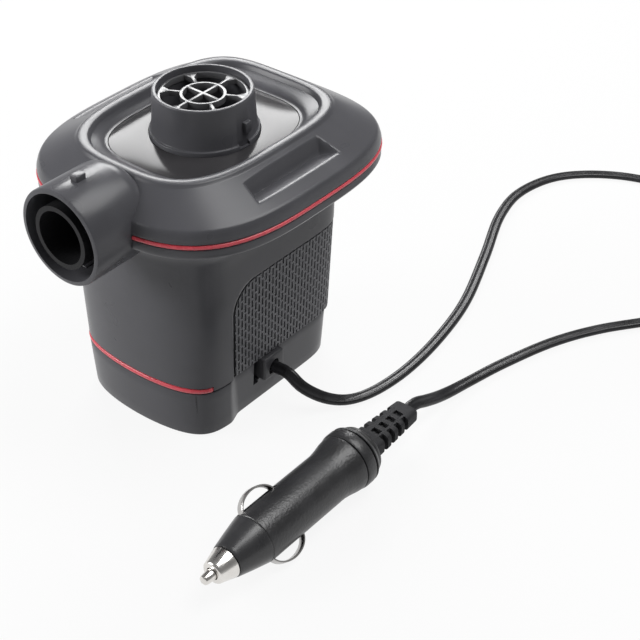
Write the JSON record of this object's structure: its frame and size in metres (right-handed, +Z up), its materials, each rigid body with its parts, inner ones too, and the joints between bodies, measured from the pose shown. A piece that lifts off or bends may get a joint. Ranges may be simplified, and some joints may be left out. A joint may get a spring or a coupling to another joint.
{
  "type": "electric air mattress pump",
  "caption": "Hand-held electric air pump with a top intake port, a side outlet nozzle, textured side grips and a cord with an accessory plug.",
  "frame": {"origin": "on the motor axis in the plane of the flat underside that the pump stands on", "axes": "+Z up along the motor and intake axis; -Y out of the outlet nozzle; +X towards the side where the cord leaves"},
  "size_m": [0.2322, 0.3637, 0.1319],
  "materials": {
    "dark_shell": "satin dark grey moulding",
    "pale_panel": "glossy pale grey",
    "red_trim": "red, semi-gloss",
    "grip_rubber": "dark grey, textured",
    "inner_plastic": "black moulding",
    "black_rubber": "black, soft",
    "cord_black": "black flexible sheath",
    "plug_black": "black, fine texture",
    "nickel": "bright nickel plate",
    "steel": "ground steel",
    "zinc": "zinc-plated sheet",
    "laminate": "stacked laminations",
    "copper": "copper",
    "brass": "brass strip",
    "bronze": "sintered bronze",
    "ferrite": "dark ferrite",
    "carbon": "carbon"
  },
  "bodies": {
    "housing": {"top_cover": "dark_shell", "top_panel": "pale_panel", "intake_grille": "dark_shell", "upper_trim_ring": "red_trim", "main_body": "dark_shell", "lower_trim_strip": "red_trim", "base_cover": "dark_shell", "grip_panel_right": "grip_rubber", "grip_panel_left": "grip_rubber", "volute_casing": "inner_plastic", "inlet_plate": "inner_plastic", "motor_can": "zinc", "magnet_a": "ferrite", "magnet_b": "ferrite", "motor_end_cap": "inner_plastic", "front_bearing": "bronze", "rear_bearing": "bronze", "brush_a": "carbon", "brush_b": "carbon", "terminal_a": "brass", "terminal_b": "brass", "motor_cushion": "black_rubber", "cord_gland": "black_rubber", "lead_a": "cord_black", "lead_b": "cord_black", "cord_pump_stretch": "cord_black", "cord_coil": "cord_black", "cord_plug_stretch": "cord_black", "coil_tie": "cord_black", "plug_boot": "black_rubber", "plug_body": "plug_black", "plug_collar": "plug_black", "plug_end_disc": "plug_black", "nose_ring": "nickel", "contact_spring": "steel"},
    "rotor": {"motor_shaft": "steel", "armature_stack": "laminate", "armature_windings": "copper", "commutator": "copper", "impeller": "inner_plastic"},
    "plug_tip": {"centre_contact": "nickel", "fuse": "nickel"},
    "side_contact_a": {"side_contact_a": "nickel"},
    "side_contact_b": {"side_contact_b": "nickel"}
  },
  "joints": [
    {"name": "rotor_spin", "type": "hinge", "parent": "housing", "child": "rotor", "pos_m": [0, 0, 0.06], "axis": [0, 0, 1], "continuous": true},
    {"name": "plug_tip_press", "type": "slide", "parent": "housing", "child": "plug_tip", "axis": [0, 1, 0], "range_m": [0, 0.004], "stiffness_N_per_m": 900, "springref_m": -0.004, "deforming": ["contact_spring"]},
    {"name": "side_contact_a_press", "type": "slide", "parent": "housing", "child": "side_contact_a", "axis": [-0.7071, 0, 0.7071], "range_m": [0, 0.0025], "stiffness_N_per_m": 1500, "springref_m": -0.001},
    {"name": "side_contact_b_press", "type": "slide", "parent": "housing", "child": "side_contact_b", "axis": [0.7071, 0, -0.7071], "range_m": [0, 0.0025], "stiffness_N_per_m": 1500, "springref_m": -0.001}
  ]
}
